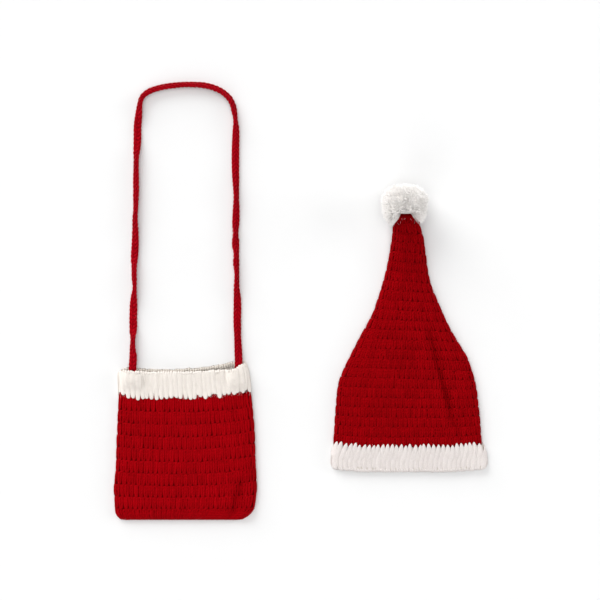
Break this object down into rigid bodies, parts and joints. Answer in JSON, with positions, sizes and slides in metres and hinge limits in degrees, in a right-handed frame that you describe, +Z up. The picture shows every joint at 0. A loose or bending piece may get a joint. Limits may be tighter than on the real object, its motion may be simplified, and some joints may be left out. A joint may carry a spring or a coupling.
{
  "type": "crochet santa hat and pouch set",
  "caption": "Newborn crochet set laid flat: a long red Santa hat with white brim and pompom, and a red closed pouch with a white mouth band and neck strap.",
  "frame": {"origin": "on the surface the set lies on, under the middle of its overall box", "axes": "+X from the pouch to the hat, +Y from the hems to the top of the neck strap, +Z up from the surface"},
  "size_m": [0.4093, 0.4813, 0.0454],
  "materials": {
    "bag_yarn": "soft matte red yarn, crocheted",
    "hat_yarn": "soft matte dark red yarn, crocheted",
    "strap_yarn": "slightly shiny red yarn, crocheted",
    "white_yarn": "fuzzy cream yarn, crocheted",
    "pompom_yarn": "loose cream yarn ends"
  },
  "bodies": {
    "root": {"bag_front": "bag_yarn", "bag_back": "bag_yarn", "bag_band_front": "white_yarn", "bag_band_back": "white_yarn", "strap_left": "strap_yarn", "strap_top": "strap_yarn", "strap_right": "strap_yarn", "hat_front": "hat_yarn", "hat_back": "hat_yarn", "hat_band_front": "white_yarn", "hat_band_back": "white_yarn", "pompom": "pompom_yarn"}
  },
  "joints": []
}
